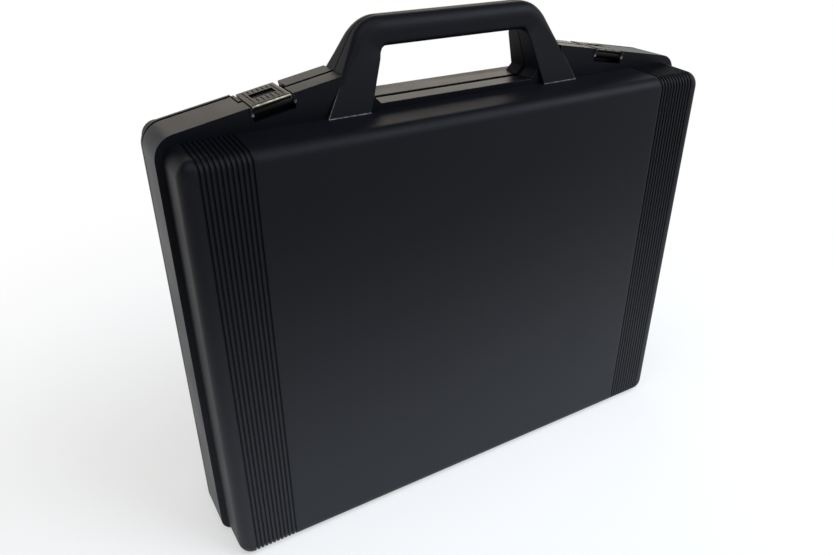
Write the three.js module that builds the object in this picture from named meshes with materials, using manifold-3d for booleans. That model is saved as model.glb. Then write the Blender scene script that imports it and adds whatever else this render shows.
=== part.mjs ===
// Hard chef knife case: two moulded half shells hinged along the bottom, a carrying
// handle moulded in two halves, two snap latches on the sloping shoulders, and foam inside.
// Millimetres. X runs along the case, Y from the front shell to the lid, Z up.
// The origin is on the floor, under the middle of the standing case.
import * as THREE from 'three';
import { mergeVertices } from 'three/addons/utils/BufferGeometryUtils.js';
import { ConvexGeometry } from 'three/addons/geometries/ConvexGeometry.js';
import Module from 'manifold-3d';

const wasm = await Module();
wasm.setup();

// Overall case
const CASE_DEPTH = 104;
const BODY_WIDTH = 427;
const BODY_TOP = 326.6;
const WALL = 3;
const PARTING_GAP = 0.3;

// Rim band that runs round both shells, and the shoulders that rise to the handle
const RIM_PROUD = 4;
const RIM_WIDTH = BODY_WIDTH + 2 * RIM_PROUD;
const RIM_DEPTH = 32.6;
const SHOULDER_END = 16.9;
const SHOULDER_LIFT = 5;
const SHOULDER_X = RIM_WIDTH / 2 - SHOULDER_END;
const SHOULDER_Z = BODY_TOP + SHOULDER_LIFT;
const SHOULDER_RISE = 0.18;
const RIM_CORNER_RADIUS = 16;
const BASE_CORNER_RADIUS = 12;
const RIM_EDGE_BEVEL = 0.8;
const LID_FLANGE = 4;

// Shell bodies, which stand in from the rim
const BODY_CORNER_RADIUS = 13;
const BODY_FILLET = 9;
const BODY_SIDE_DRAFT = 1;
const BODY_TOP_DRAFT = 3.3;

// Fluted bands near both ends of each shell
const GROOVE_COUNT = 11;
const GROOVE_PITCH = 3.2;
const GROOVE_BAND = 44.9;
const GROOVE_INNER_X = BODY_WIDTH / 2 - GROOVE_BAND;
const GROOVE_WIDTH = 1.2;
const GROOVE_DEPTH = 0.9;

// Handle
const HANDLE_RISE = 57.4;
const HANDLE_TOP = BODY_TOP + HANDLE_RISE;
const HANDLE_FROM_END = 109;
const HANDLE_FOOT_HALF = BODY_WIDTH / 2 - HANDLE_FROM_END;
const HANDLE_SPLAY = 0.56;
const HANDLE_CORNER_RADIUS = 24;
const HANDLE_CORNER_STEPS = 4;
const HANDLE_ROOT = 3.2;
const GRIP_HALF_DEPTH = 12;
const LEG_FLARE = 0.1875;
const LEG_FLARE_DOWN = 14.7;
const LEG_FLARE_TOP = HANDLE_TOP - LEG_FLARE_DOWN;
const GRIP_ROUND_TOP = 9;
const GRIP_ROUND_UNDER = 6;
const FOOT_ROUND = 1.5;
const ROUND_START_UP = 19.4;
const ROUND_START_Z = BODY_TOP + ROUND_START_UP;
const EDGE_STEPS = 3;
const SILL_LIFT = 2.7;
const SILL_Z = BODY_TOP + SILL_LIFT;
const LEG_WIDTH = 32.5;
const OPENING_FOOT_HALF = HANDLE_FOOT_HALF - LEG_WIDTH;
const OPENING_SPLAY = 0.33;
const GRIP_HEIGHT = 18.8;
const OPENING_TOP = HANDLE_TOP - GRIP_HEIGHT;
const OPENING_CORNER_RADIUS = 7;
const OPENING_CHAMFER = 6;
const SHOULDER_END_IN = 0.5;

// Latches
const LATCH_FROM_LEG = 36.7;
const LATCH_X = HANDLE_FOOT_HALF + LATCH_FROM_LEG;
const LATCH_WIDTH = 26.4;
const LATCH_THICK = 3;
const LATCH_NOSE = 0.3;
const LATCH_SIDE_GAP = 0.35;
const LATCH_FLOOR_GAP = 0.3;
const LATCH_FLOOR = 2.2;
const LATCH_PIVOT_IN = 2.8;
const LATCH_PIVOT_DOWN = 4.2;
const LATCH_BARREL_RADIUS = 2.9;
const LATCH_PIN_RADIUS = 1.3;
const LATCH_POCKET_DEPTH = 9.8;
const LATCH_POCKET_LENGTH = 7.5;
const LATCH_CHEEK = 2.4;
const LATCH_TAB_GAP = 3.5;
const SLOT_LENGTH = 16;
const SLOT_FRONT = 1.6;
const SLOT_REAR = 2.8;
const CATCH_THICK = 2;
const CATCH_GAP = 0.4;
const CATCH_FLOOR_GAP = 0.6;
const LATCH_RIB_COUNT = 7;
const LATCH_RIB_PITCH = 3.3;
const LATCH_RIB_WIDTH = 1.5;
const LATCH_RIB_HEIGHT = 0.5;
const EAR_WIDTH = 2;
const EAR_PROUD = 1.3;
const EAR_HEIGHT = 6.5;

// Hinges along the bottom
const HINGE_AXIS_Z = 4.2;
const HINGE_HALF_ANGLE = 52.5;
const HINGE_RAIL_HEIGHT = 8;
const HINGE_RAIL_DEPTH = 8;
const HINGE_FROM_END = 87.5;
const HINGE_X = RIM_WIDTH / 2 - HINGE_FROM_END;
const HINGE_LENGTH = 62;
const KNUCKLE_COUNT = 5;
const KNUCKLE_GAP = 0.6;
const KNUCKLE_RADIUS = 3.8;
const HINGE_PIN_RADIUS = 1.5;
const PIN_GAP = 0.3;
const PIN_SIDES = 20;

// Foam
const FOAM_GAP = 0.4;
const FOAM_BACK_THICK = 12;
const FOAM_TRAY_THICK = 32;
const LID_FOAM_THICK = 41;
const POCKET_COUNT = 5;
const POCKET_END = 21;
const POCKET_LENGTH = BODY_WIDTH - 2 * POCKET_END;
const POCKET_LENGTH_STEP = 26;
const POCKET_BLADE_HEIGHT = 54;
const POCKET_BLADE_STEP = 6.5;
const POCKET_HANDLE_LENGTH = 122;
const POCKET_HANDLE_HEIGHT = 26;
const POCKET_HANDLE_RADIUS = 6;
const POCKET_MARGIN = 20;
const POCKET_WEB = 18.5;

// Mesh fineness and small overlaps
const ARC_STEPS = 3;
const GROOVE_ARC_STEPS = 2;
const FILLET_STEPS = 3;
const OVER = 1;
const TINY = 1e-6;
const RAD = Math.PI / 180;

// Values worked out from the sizes above
const HALF_DEPTH = CASE_DEPTH / 2;
const RIM_HALF = RIM_WIDTH / 2;
const RIM_FACE = RIM_DEPTH / 2;
const BODY_HALF = BODY_WIDTH / 2;
const HALF_GAP = PARTING_GAP / 2;
const SLOPE_LENGTH = Math.hypot(1, SHOULDER_RISE);
const SLOPE_ANGLE = Math.atan(SHOULDER_RISE);
const LATCH_HALF = LATCH_WIDTH / 2;
const NOTCH_HALF = LATCH_HALF + LATCH_SIDE_GAP;
const TAB_NOTCH_HALF = LATCH_HALF + LATCH_TAB_GAP;
const STEP_X = LATCH_X + TAB_NOTCH_HALF;
const NOTCH_DEPTH = LATCH_THICK + LATCH_FLOOR_GAP;
const CATCH_DEPTH = LATCH_THICK + CATCH_FLOOR_GAP;
const PIVOT_Y = -RIM_FACE + LATCH_PIVOT_IN;
const HINGE_AXIS_Y = RIM_FACE;
const FAR = 600;

function shoulderHeight(x) {
  return SHOULDER_Z + SHOULDER_RISE * (SHOULDER_X - Math.abs(x));
}

function toSolid(geometry) {
  const bare = geometry.clone();
  bare.deleteAttribute('normal');
  bare.deleteAttribute('uv');
  const merged = mergeVertices(bare, 1e-4);
  const vertProperties = new Float32Array(merged.attributes.position.array);
  const triVerts = new Uint32Array(merged.index.array);
  return new wasm.Manifold(new wasm.Mesh({ numProp: 3, vertProperties, triVerts }));
}

function toGeometry(solid) {
  const mesh = solid.getMesh();
  const geometry = new THREE.BufferGeometry();
  geometry.setAttribute('position', new THREE.BufferAttribute(new Float32Array(mesh.vertProperties), 3));
  geometry.setIndex(new THREE.BufferAttribute(new Uint32Array(mesh.triVerts), 1));
  geometry.computeVertexNormals();
  return geometry;
}

function join(solids) {
  return solids.reduce((whole, piece) => whole.add(piece));
}

function cut(solid, cutters) {
  return cutters.reduce((left, cutter) => left.subtract(cutter), solid);
}

// A box between two corners
function box(x0, x1, y0, y1, z0, z1) {
  const geometry = new THREE.BoxGeometry(x1 - x0, y1 - y0, z1 - z0);
  geometry.translate((x0 + x1) / 2, (y0 + y1) / 2, (z0 + z1) / 2);
  return geometry;
}

// A cylinder along X between two ends
function rod(x0, x1, y, z, radius) {
  const geometry = new THREE.CylinderGeometry(radius, radius, x1 - x0, PIN_SIDES);
  geometry.rotateZ(Math.PI / 2);
  geometry.translate((x0 + x1) / 2, y, z);
  return geometry;
}

// The corners of an anticlockwise outline, each [x, z, radius], moved inwards by inset
function insetCorners(corners, inset) {
  const count = corners.length;
  return corners.map((corner, i) => {
    const before = corners[(i + count - 1) % count];
    const after = corners[(i + 1) % count];
    const inLength = Math.hypot(corner[0] - before[0], corner[1] - before[1]);
    const outLength = Math.hypot(after[0] - corner[0], after[1] - corner[1]);
    const inward = [(corner[0] - before[0]) / inLength, (corner[1] - before[1]) / inLength];
    const outward = [(after[0] - corner[0]) / outLength, (after[1] - corner[1]) / outLength];
    const turn = inward[0] * outward[1] - inward[1] * outward[0];
    const straight = Math.abs(turn) < TINY;
    const along = straight ? 0 : inset * (inward[0] * outward[0] + inward[1] * outward[1] - 1) / turn;
    const x = corner[0] - inward[1] * inset + inward[0] * along;
    const z = corner[1] + inward[0] * inset + inward[1] * along;
    const radius = corner[2] === 0 ? 0 : Math.max(corner[2] - Math.sign(turn) * inset, 1);
    return [x, z, radius];
  });
}

// The same corners as a closed path, with an arc at each corner that has a radius
function addOutline(path, corners) {
  const count = corners.length;
  corners.forEach(([x, z, radius], i) => {
    const before = new THREE.Vector2(...corners[(i + count - 1) % count]).sub(new THREE.Vector2(x, z)).normalize();
    const after = new THREE.Vector2(...corners[(i + 1) % count]).sub(new THREE.Vector2(x, z)).normalize();
    const half = Math.acos(THREE.MathUtils.clamp(before.dot(after), -1, 1)) / 2;
    if (radius === 0) {
      if (i === 0) path.moveTo(x, z);
      else path.lineTo(x, z);
      return;
    }
    const reach = radius / Math.tan(half);
    const start = new THREE.Vector2(x, z).addScaledVector(before, reach);
    const end = new THREE.Vector2(x, z).addScaledVector(after, reach);
    const toCentre = before.clone().add(after).normalize();
    const centre = new THREE.Vector2(x, z).addScaledVector(toCentre, radius / Math.sin(half));
    if (i === 0) path.moveTo(start.x, start.y);
    else path.lineTo(start.x, start.y);
    const startAngle = Math.atan2(start.y - centre.y, start.x - centre.x);
    const endAngle = Math.atan2(end.y - centre.y, end.x - centre.x);
    const clockwise = before.x * after.y - before.y * after.x > 0;
    path.absarc(centre.x, centre.y, radius, startAngle, endAngle, clockwise);
  });
  path.closePath();
  return path;
}

function outline(corners, holes = []) {
  const shape = addOutline(new THREE.Shape(), corners);
  holes.forEach((hole) => shape.holes.push(addOutline(new THREE.Path(), hole)));
  return shape;
}

// A shape drawn in X and Z, carried along Y from y0 to y1, with the edge at y0 rounded
function slab(shape, y0, y1, round = 0, steps = FILLET_STEPS) {
  const bevel = round > 0;
  const geometry = new THREE.ExtrudeGeometry(shape, {
    depth: y1 - y0 - (bevel ? 2 * round : 0),
    curveSegments: ARC_STEPS,
    bevelEnabled: bevel,
    bevelThickness: round,
    bevelSize: round,
    bevelOffset: -round,
    bevelSegments: steps,
  });
  geometry.rotateX(Math.PI / 2);
  geometry.translate(0, y1 - (bevel ? round : 0), 0);
  return geometry;
}

// Outlines of the case, seen from the front
function rimCorners() {
  const cornerZ = shoulderHeight(RIM_HALF);
  const levelHalf = handleHalfWidth(SHOULDER_Z + SHOULDER_RISE * SHOULDER_X) - SHOULDER_END_IN;
  const peakX = levelHalf / (1 - HANDLE_SPLAY * SHOULDER_RISE);
  const peakZ = shoulderHeight(peakX);
  const sillHalf = handleHalfWidth(SILL_Z) - SHOULDER_END_IN;
  return [
    [-RIM_HALF, 0, BASE_CORNER_RADIUS],
    [RIM_HALF, 0, BASE_CORNER_RADIUS],
    [RIM_HALF, cornerZ, RIM_CORNER_RADIUS],
    [peakX, peakZ, 0],
    [sillHalf, SILL_Z, 0],
    [-sillHalf, SILL_Z, 0],
    [-peakX, peakZ, 0],
    [-RIM_HALF, cornerZ, RIM_CORNER_RADIUS],
  ];
}

function bodyCorners() {
  return [
    [-BODY_HALF, 0, BODY_CORNER_RADIUS],
    [BODY_HALF, 0, BODY_CORNER_RADIUS],
    [BODY_HALF, BODY_TOP, BODY_CORNER_RADIUS],
    [-BODY_HALF, BODY_TOP, BODY_CORNER_RADIUS],
  ];
}

function handleHalfWidth(z) {
  return HANDLE_FOOT_HALF - HANDLE_SPLAY * (z - BODY_TOP);
}

function openingHalfWidth(z) {
  return OPENING_FOOT_HALF - OPENING_SPLAY * (z - SILL_Z);
}

// How far a depth is towards the front face: 0 at the rear of the rim and 1 at the face
function forwardShare(y) {
  return (RIM_FACE - y) / (RIM_FACE + HALF_DEPTH);
}

function bodyTopAt(y) {
  return BODY_TOP - BODY_TOP_DRAFT * forwardShare(y);
}

// One shell's body as a block, inset from its outer face, narrowing a little to the front
function bodyBlock(inset, rear) {
  const shape = outline(insetCorners(bodyCorners(), inset));
  const round = BODY_FILLET - inset;
  const geometry = slab(shape, -HALF_DEPTH + inset, RIM_FACE + round, round);
  const position = geometry.attributes.position;
  for (let i = 0; i < position.count; i += 1) {
    const forward = forwardShare(position.getY(i));
    position.setX(i, position.getX(i) * (1 - forward * BODY_SIDE_DRAFT / BODY_HALF));
    position.setZ(i, position.getZ(i) * (1 - forward * BODY_TOP_DRAFT / BODY_TOP));
  }
  const trim = toSolid(box(-FAR, FAR, rear, FAR, -FAR, FAR));
  return toSolid(geometry).subtract(trim);
}

function rimBlock(inset, y0, y1, round = 0) {
  return toSolid(slab(outline(insetCorners(rimCorners(), inset)), y0, y1, round, 1));
}

// One groove: a thin plate in Y and Z with the grooved body's section taken out of it
function grooveCutter(x) {
  const front = -HALF_DEPTH + GROOVE_DEPTH;
  const rear = -RIM_FACE + OVER;
  const round = BODY_FILLET - GROOVE_DEPTH;
  const core = [
    [front, GROOVE_DEPTH, round],
    [rear, GROOVE_DEPTH, 0],
    [rear, bodyTopAt(rear) - GROOVE_DEPTH, 0],
    [front, bodyTopAt(front) - GROOVE_DEPTH, round],
  ];
  const frame = [
    [-HALF_DEPTH - OVER, -OVER, 0],
    [-RIM_FACE, -OVER, 0],
    [-RIM_FACE, BODY_TOP + OVER, 0],
    [-HALF_DEPTH - OVER, BODY_TOP + OVER, 0],
  ];
  const plate = (corners, width) => {
    const geometry = new THREE.ExtrudeGeometry(outline(corners), {
      depth: width,
      curveSegments: GROOVE_ARC_STEPS,
      bevelEnabled: false,
    });
    geometry.rotateX(Math.PI / 2);
    geometry.rotateZ(Math.PI / 2);
    geometry.translate(x - width / 2, 0, 0);
    return toSolid(geometry);
  };
  return plate(frame, GROOVE_WIDTH).subtract(plate(core, GROOVE_WIDTH * 2));
}

function grooves() {
  const cutters = [];
  for (let i = 0; i < GROOVE_COUNT; i += 1) {
    const x = GROOVE_INNER_X + i * GROOVE_PITCH;
    cutters.push(grooveCutter(x), grooveCutter(-x));
  }
  return cutters;
}

// Where a rounded corner starts, ends and has its centre, between a leg and the level grip
function cornerArc(halfWidthAt, topZ, splay, radius) {
  const lean = Math.atan(splay);
  const reach = radius * Math.tan((Math.PI / 2 - lean) / 2);
  return { centreX: halfWidthAt(topZ) - reach, centreZ: topZ - radius, radius, lean };
}

function onArc(arc, share) {
  const angle = arc.lean + (Math.PI / 2 - arc.lean) * share;
  return [arc.centreX + arc.radius * Math.cos(angle), arc.centreZ + arc.radius * Math.sin(angle)];
}

function handleDepthAt(z) {
  return GRIP_HALF_DEPTH + LEG_FLARE * Math.max(LEG_FLARE_TOP - z, 0);
}

function edgeRoundAt(z, topZ, full) {
  const share = THREE.MathUtils.clamp((z - ROUND_START_Z) / (topZ - ROUND_START_Z), 0, 1);
  return FOOT_ROUND + (full - FOOT_ROUND) * share;
}

// The right leg and corner of the handle as pairs of outer and inner points, from the foot up
function handleStations() {
  const stations = [BODY_TOP - HANDLE_ROOT, ROUND_START_Z].map((z) => (
    { outer: [handleHalfWidth(z), z], inner: [openingHalfWidth(z), z] }
  ));
  const outerArc = cornerArc(handleHalfWidth, HANDLE_TOP, HANDLE_SPLAY, HANDLE_CORNER_RADIUS);
  const innerArc = cornerArc(openingHalfWidth, OPENING_TOP, OPENING_SPLAY, OPENING_CORNER_RADIUS);
  for (let i = 0; i <= HANDLE_CORNER_STEPS; i += 1) {
    const share = i / HANDLE_CORNER_STEPS;
    stations.push({ outer: onArc(outerArc, share), inner: onArc(innerArc, share) });
  }
  return stations;
}

// One flank of a station's section: from the rear forwards, round the edge to the front face
function sectionEdge(end, direction, round, depth, inset, rear) {
  const edge = Math.max(round - inset, FOOT_ROUND / 2);
  const start = end.clone().addScaledVector(direction, -inset);
  const points = [new THREE.Vector3(start.x, rear, start.y)];
  for (let i = 0; i <= EDGE_STEPS; i += 1) {
    const angle = (i / EDGE_STEPS) * Math.PI / 2;
    const across = start.clone().addScaledVector(direction, -edge * (1 - Math.cos(angle)));
    const y = -(depth - inset - edge * (1 - Math.sin(angle)));
    points.push(new THREE.Vector3(across.x, y, across.y));
  }
  return points;
}

// One station's closed section in front of the parting plane, moved in from its face by inset
function handleSection(station, side, inset, rear) {
  const outer = new THREE.Vector2(...station.outer);
  const inner = new THREE.Vector2(...station.inner);
  const across = outer.clone().sub(inner).normalize();
  const outerRound = edgeRoundAt(outer.y, HANDLE_TOP, GRIP_ROUND_TOP);
  const innerRound = edgeRoundAt(inner.y, OPENING_TOP, GRIP_ROUND_UNDER);
  const back = across.clone().negate();
  const ring = [
    ...sectionEdge(outer, across, outerRound, handleDepthAt(outer.y), inset, rear),
    ...sectionEdge(inner, back, innerRound, handleDepthAt(inner.y), inset, rear).reverse(),
  ];
  return ring.map((point) => new THREE.Vector3(side * point.x, point.y, point.z));
}

// A closed skin over a row of sections that have equal point counts, with flat ends
function skinOver(rings) {
  const sides = rings[0].length;
  const last = (rings.length - 1) * sides;
  const index = [];
  for (let start = 0; start < last; start += sides) {
    for (let i = 0; i < sides; i += 1) {
      const here = start + i;
      const next = start + (i + 1) % sides;
      index.push(here, next, next + sides, here, next + sides, here + sides);
    }
  }
  for (let i = 1; i + 1 < sides; i += 1) {
    index.push(0, i + 1, i, last, last + i, last + i + 1);
  }
  const geometry = new THREE.BufferGeometry().setFromPoints(rings.flat());
  geometry.setIndex(index);
  return geometry;
}

// The handle in front of the parting plane, skinned over its sections from foot to foot
function handleChain(inset, rear) {
  const stations = handleStations();
  const right = stations.map((station) => handleSection(station, 1, inset, rear));
  const left = stations.map((station) => handleSection(station, -1, inset, rear));
  return toSolid(skinOver([...left, ...right.reverse()]));
}

// The corner block between a leg and the sill, which the opening's chamfer slopes over
function sillChamfer(side) {
  const top = SILL_Z + OPENING_CHAMFER;
  const x = openingHalfWidth(top);
  const corners = [
    [side * x, top],
    [side * (x - OPENING_CHAMFER), SILL_Z],
    [side * (x - OPENING_CHAMFER), SILL_Z - OVER],
    [side * (x + WALL), SILL_Z - OVER],
    [side * (x + WALL), top],
  ];
  const points = [-RIM_FACE, -HALF_GAP].flatMap((y) => corners.map(([cx, cz]) => new THREE.Vector3(cx, y, cz)));
  return toSolid(new ConvexGeometry(points));
}

function handleHalf() {
  return join([handleChain(0, -HALF_GAP), sillChamfer(-1), sillChamfer(1)]);
}

function handleHollow() {
  return handleChain(WALL, OVER);
}

// Places geometry drawn about a latch's centre, on the slope of its shoulder
function onShoulder(geometry, side) {
  geometry.rotateY(side * SLOPE_ANGLE);
  geometry.translate(side * LATCH_X, 0, shoulderHeight(LATCH_X));
  return geometry;
}

// Outward and inward ends of a span about a latch's centre, for the left or right latch
function latchSpan(side, inward, outward) {
  return side > 0 ? [-inward, outward] : [-outward, inward];
}

function shoulderBox(side, u0, u1, y0, y1, w0, w1) {
  return toSolid(onShoulder(box(u0, u1, y0, y1, w0, w1), side));
}

function shoulderRod(side, half, radius) {
  return toSolid(onShoulder(rod(-half, half, PIVOT_Y, -LATCH_PIVOT_DOWN, radius), side));
}

// What the front shell gains at each latch: a floor, a pocket for the barrel, and two ears
function latchSeat(side) {
  const half = NOTCH_HALF + LATCH_CHEEK;
  const pocketEnd = -RIM_FACE + LATCH_POCKET_LENGTH + LATCH_FLOOR;
  const seat = [
    shoulderBox(side, -half, half, -RIM_FACE + OVER, -HALF_GAP, -NOTCH_DEPTH - LATCH_FLOOR, -OVER),
    shoulderBox(side, -half, half, -RIM_FACE + OVER, pocketEnd, -LATCH_POCKET_DEPTH - LATCH_FLOOR, -OVER),
  ];
  [-1, 1].forEach((end) => {
    const inner = end * (NOTCH_HALF + EAR_WIDTH / 2);
    const u0 = inner - EAR_WIDTH / 2;
    const u1 = inner + EAR_WIDTH / 2;
    seat.push(shoulderBox(side, u0, u1, -RIM_FACE - EAR_PROUD, -RIM_FACE + OVER, -EAR_HEIGHT, -OVER));
  });
  return seat;
}

function latchCuts(side) {
  const pocketEnd = -RIM_FACE + LATCH_POCKET_LENGTH;
  const front = -RIM_FACE - EAR_PROUD - OVER;
  return [
    shoulderBox(side, -NOTCH_HALF, NOTCH_HALF, front, OVER, -NOTCH_DEPTH, OVER),
    shoulderBox(side, -NOTCH_HALF, NOTCH_HALF, front, pocketEnd, -LATCH_POCKET_DEPTH, OVER),
    shoulderRod(side, NOTCH_HALF + LATCH_CHEEK + OVER, LATCH_PIN_RADIUS + PIN_GAP),
  ];
}

// What the lid gains at each latch: a wider floor and the catch that fills the slot
function catchSeat(side) {
  const [u0, u1] = latchSpan(side, TAB_NOTCH_HALF + LATCH_CHEEK, TAB_NOTCH_HALF - PARTING_GAP);
  return [shoulderBox(side, u0, u1, HALF_GAP, RIM_FACE, -CATCH_DEPTH - LATCH_FLOOR, -OVER)];
}

function catchCut(side) {
  const [u0, u1] = latchSpan(side, TAB_NOTCH_HALF, TAB_NOTCH_HALF + OVER);
  return shoulderBox(side, u0, u1, -OVER, RIM_FACE + OVER, -CATCH_DEPTH, OVER);
}

function catchLug(side) {
  const half = SLOT_LENGTH / 2 - CATCH_GAP;
  const front = SLOT_REAR - CATCH_GAP - CATCH_THICK;
  return shoulderBox(side, -half, half, front, SLOT_REAR - CATCH_GAP, -CATCH_DEPTH - OVER, -CATCH_GAP);
}

// The bevelled rails that meet along the bottom, and the knuckles of one shell
function hingeRail(direction) {
  const start = HINGE_AXIS_Y + direction * HALF_GAP;
  const end = start + direction * HINGE_RAIL_DEPTH;
  const y0 = Math.min(start, end);
  const y1 = Math.max(start, end);
  const outer = direction < 0 ? rimBlock(0, y0, y1) : turned(bodyBlock(0, RIM_FACE));
  return outer.intersect(toSolid(box(-FAR, FAR, y0, y1, -OVER, HINGE_RAIL_HEIGHT)));
}

function hingeValley() {
  const spread = (HINGE_AXIS_Z + OVER) * Math.tan(HINGE_HALF_ANGLE * RAD);
  const shape = outline([
    [HINGE_AXIS_Y - spread, -OVER, 0],
    [HINGE_AXIS_Y + spread, -OVER, 0],
    [HINGE_AXIS_Y, HINGE_AXIS_Z, 0],
  ]);
  const geometry = new THREE.ExtrudeGeometry(shape, { depth: RIM_WIDTH + 2 * OVER, bevelEnabled: false });
  geometry.rotateX(Math.PI / 2);
  geometry.rotateZ(Math.PI / 2);
  geometry.translate(-RIM_HALF - OVER, 0, 0);
  return toSolid(geometry);
}

function knuckles(owner, radius, grow) {
  const step = (HINGE_LENGTH + KNUCKLE_GAP) / KNUCKLE_COUNT;
  const list = [];
  [-1, 1].forEach((side) => {
    const start = side * HINGE_X - HINGE_LENGTH / 2;
    for (let i = owner; i < KNUCKLE_COUNT; i += 2) {
      const x0 = start + i * step - grow;
      const x1 = start + (i + 1) * step - KNUCKLE_GAP + grow;
      list.push(toSolid(rod(x0, x1, HINGE_AXIS_Y, HINGE_AXIS_Z, radius)));
    }
  });
  return list;
}

function hingeBores() {
  const half = HINGE_LENGTH / 2 + OVER;
  return [-1, 1].map((side) => toSolid(rod(
    side * HINGE_X - half,
    side * HINGE_X + half,
    HINGE_AXIS_Y,
    HINGE_AXIS_Z,
    HINGE_PIN_RADIUS + PIN_GAP,
  )));
}

function turned(solid) {
  const geometry = toGeometry(solid);
  geometry.rotateZ(Math.PI);
  return toSolid(geometry);
}

// The front shell: deep tray, rim, shoulders, front half of the handle
function frontShell() {
  const rimRear = RIM_FACE - HALF_GAP;
  const outer = join([
    bodyBlock(0, -RIM_FACE + OVER),
    rimBlock(0, -RIM_FACE, rimRear, RIM_EDGE_BEVEL),
    handleHalf(),
  ]);
  const hollows = [
    bodyBlock(WALL, RIM_FACE),
    rimBlock(WALL, -RIM_FACE + WALL, RIM_FACE + OVER),
    handleHollow(),
  ];
  const lidStep = toSolid(box(-STEP_X, STEP_X, -HALF_GAP, FAR, BODY_TOP - WALL, FAR));
  let shell = cut(outer, [...hollows, lidStep, ...grooves()]);
  shell = join([shell, ...latchSeat(-1), ...latchSeat(1), hingeRail(-1)]);
  const swept = knuckles(1, KNUCKLE_RADIUS + 2 * PIN_GAP, KNUCKLE_GAP);
  shell = cut(shell, [...latchCuts(-1), ...latchCuts(1), hingeValley(), ...swept]);
  shell = join([shell, ...knuckles(0, KNUCKLE_RADIUS, 0)]);
  return cut(shell, hingeBores());
}

// The lid: shallow tray with a flange that closes the rim, the middle of the shoulders
// and the rear half of the handle, which reach forward to the middle of the case
function lidShell() {
  const flangeFront = RIM_FACE + HALF_GAP;
  const flangeRear = flangeFront + LID_FLANGE;
  const stepHalf = STEP_X - PARTING_GAP;
  const wallZ = BODY_TOP - WALL;
  const middle = rimBlock(0, HALF_GAP, flangeRear)
    .intersect(toSolid(box(-stepHalf, stepHalf, 0, FAR, wallZ, FAR)))
    .subtract(rimBlock(WALL, -OVER, RIM_FACE - WALL));
  const behindMiddle = toSolid(box(-stepHalf, stepHalf, RIM_FACE, FAR, BODY_TOP, FAR));
  const flange = rimBlock(0, flangeFront, flangeRear);
  let shell = join([
    turned(bodyBlock(0, -flangeFront - OVER)),
    flange,
    middle,
  ]);
  shell = shell.subtract(behindMiddle);
  shell = join([shell, turned(handleHalf())]);
  shell = cut(shell, [
    turned(bodyBlock(WALL, RIM_FACE - WALL)),
    turned(handleHollow()),
    ...grooves().map(turned),
  ]);
  shell = join([shell, ...catchSeat(-1), ...catchSeat(1), hingeRail(1)]);
  const swept = knuckles(0, KNUCKLE_RADIUS + 2 * PIN_GAP, KNUCKLE_GAP);
  shell = cut(shell, [catchCut(-1), catchCut(1), hingeValley(), ...swept]);
  shell = join([shell, catchLug(-1), catchLug(1), ...knuckles(1, KNUCKLE_RADIUS, 0)]);
  return cut(shell, hingeBores());
}

// A latch: a flat plate with a barrel at its front, a slot over the catch and grip ribs
function latch(side) {
  const nose = -RIM_FACE - LATCH_NOSE;
  const tail = RIM_FACE - LATCH_NOSE;
  const plate = shoulderBox(side, -LATCH_HALF, LATCH_HALF, nose, tail, -LATCH_THICK, 0);
  const barrel = shoulderRod(side, LATCH_HALF, LATCH_BARREL_RADIUS);
  const ribs = [];
  for (let i = 0; i < LATCH_RIB_COUNT; i += 1) {
    const u = (i - (LATCH_RIB_COUNT - 1) / 2) * LATCH_RIB_PITCH;
    const u0 = u - LATCH_RIB_WIDTH / 2;
    const u1 = u + LATCH_RIB_WIDTH / 2;
    const spans = [
      [PIVOT_Y, -SLOT_FRONT - OVER],
      [SLOT_REAR + OVER, tail - OVER],
    ];
    spans.forEach(([y0, y1]) => {
      ribs.push(shoulderBox(side, u0, u1, y0, y1, -OVER, LATCH_RIB_HEIGHT));
    });
  }
  const slot = shoulderBox(
    side,
    -SLOT_LENGTH / 2,
    SLOT_LENGTH / 2,
    -SLOT_FRONT,
    SLOT_REAR,
    -LATCH_THICK - OVER,
    OVER,
  );
  const bore = shoulderRod(side, LATCH_HALF + OVER, LATCH_PIN_RADIUS + PIN_GAP);
  return cut(join([plate, barrel, ...ribs]), [slot, bore]);
}

function latchPin(side) {
  return shoulderRod(side, NOTCH_HALF + LATCH_CHEEK, LATCH_PIN_RADIUS);
}

function hingePin(side) {
  const half = HINGE_LENGTH / 2;
  return toSolid(rod(
    side * HINGE_X - half,
    side * HINGE_X + half,
    HINGE_AXIS_Y,
    HINGE_AXIS_Z,
    HINGE_PIN_RADIUS,
  ));
}

// Foam: a plain back layer and a tray layer with knife pockets cut through it, and a lid pad
function foamLayer(front, rear) {
  const gap = WALL + FOAM_GAP;
  const block = bodyBlock(gap, rear);
  return block.subtract(toSolid(box(-FAR, FAR, -FAR, front, -FAR, FAR)));
}

function pocketHeight(index) {
  return POCKET_BLADE_HEIGHT - index * POCKET_BLADE_STEP;
}

function pocketMiddle(index) {
  let z = WALL + FOAM_GAP + POCKET_MARGIN;
  for (let i = 0; i < index; i += 1) {
    z += pocketHeight(i) + POCKET_WEB;
  }
  return z + pocketHeight(index) / 2;
}

// A pocket outlines a knife: its handle level with the spine, its belly sloping to the tip.
// Every other one is turned end for end.
function knifePocket(index, front, rear) {
  const low = -pocketHeight(index) / 2;
  const high = pocketHeight(index) / 2;
  const start = -POCKET_LENGTH / 2;
  const handleEnd = start + POCKET_HANDLE_LENGTH;
  const handleLow = high - POCKET_HANDLE_HEIGHT;
  const tip = POCKET_LENGTH / 2 - index * POCKET_LENGTH_STEP;
  const corners = [
    [start, handleLow, POCKET_HANDLE_RADIUS],
    [handleEnd, handleLow, 0],
    [handleEnd, low, 0],
    [tip - pocketHeight(index), low, high],
    [tip, high, 0],
    [start, high, POCKET_HANDLE_RADIUS],
  ];
  const geometry = slab(outline(corners), front, rear);
  if (index % 2 === 1) geometry.rotateY(Math.PI);
  geometry.translate(0, 0, pocketMiddle(index));
  return toSolid(geometry);
}

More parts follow.
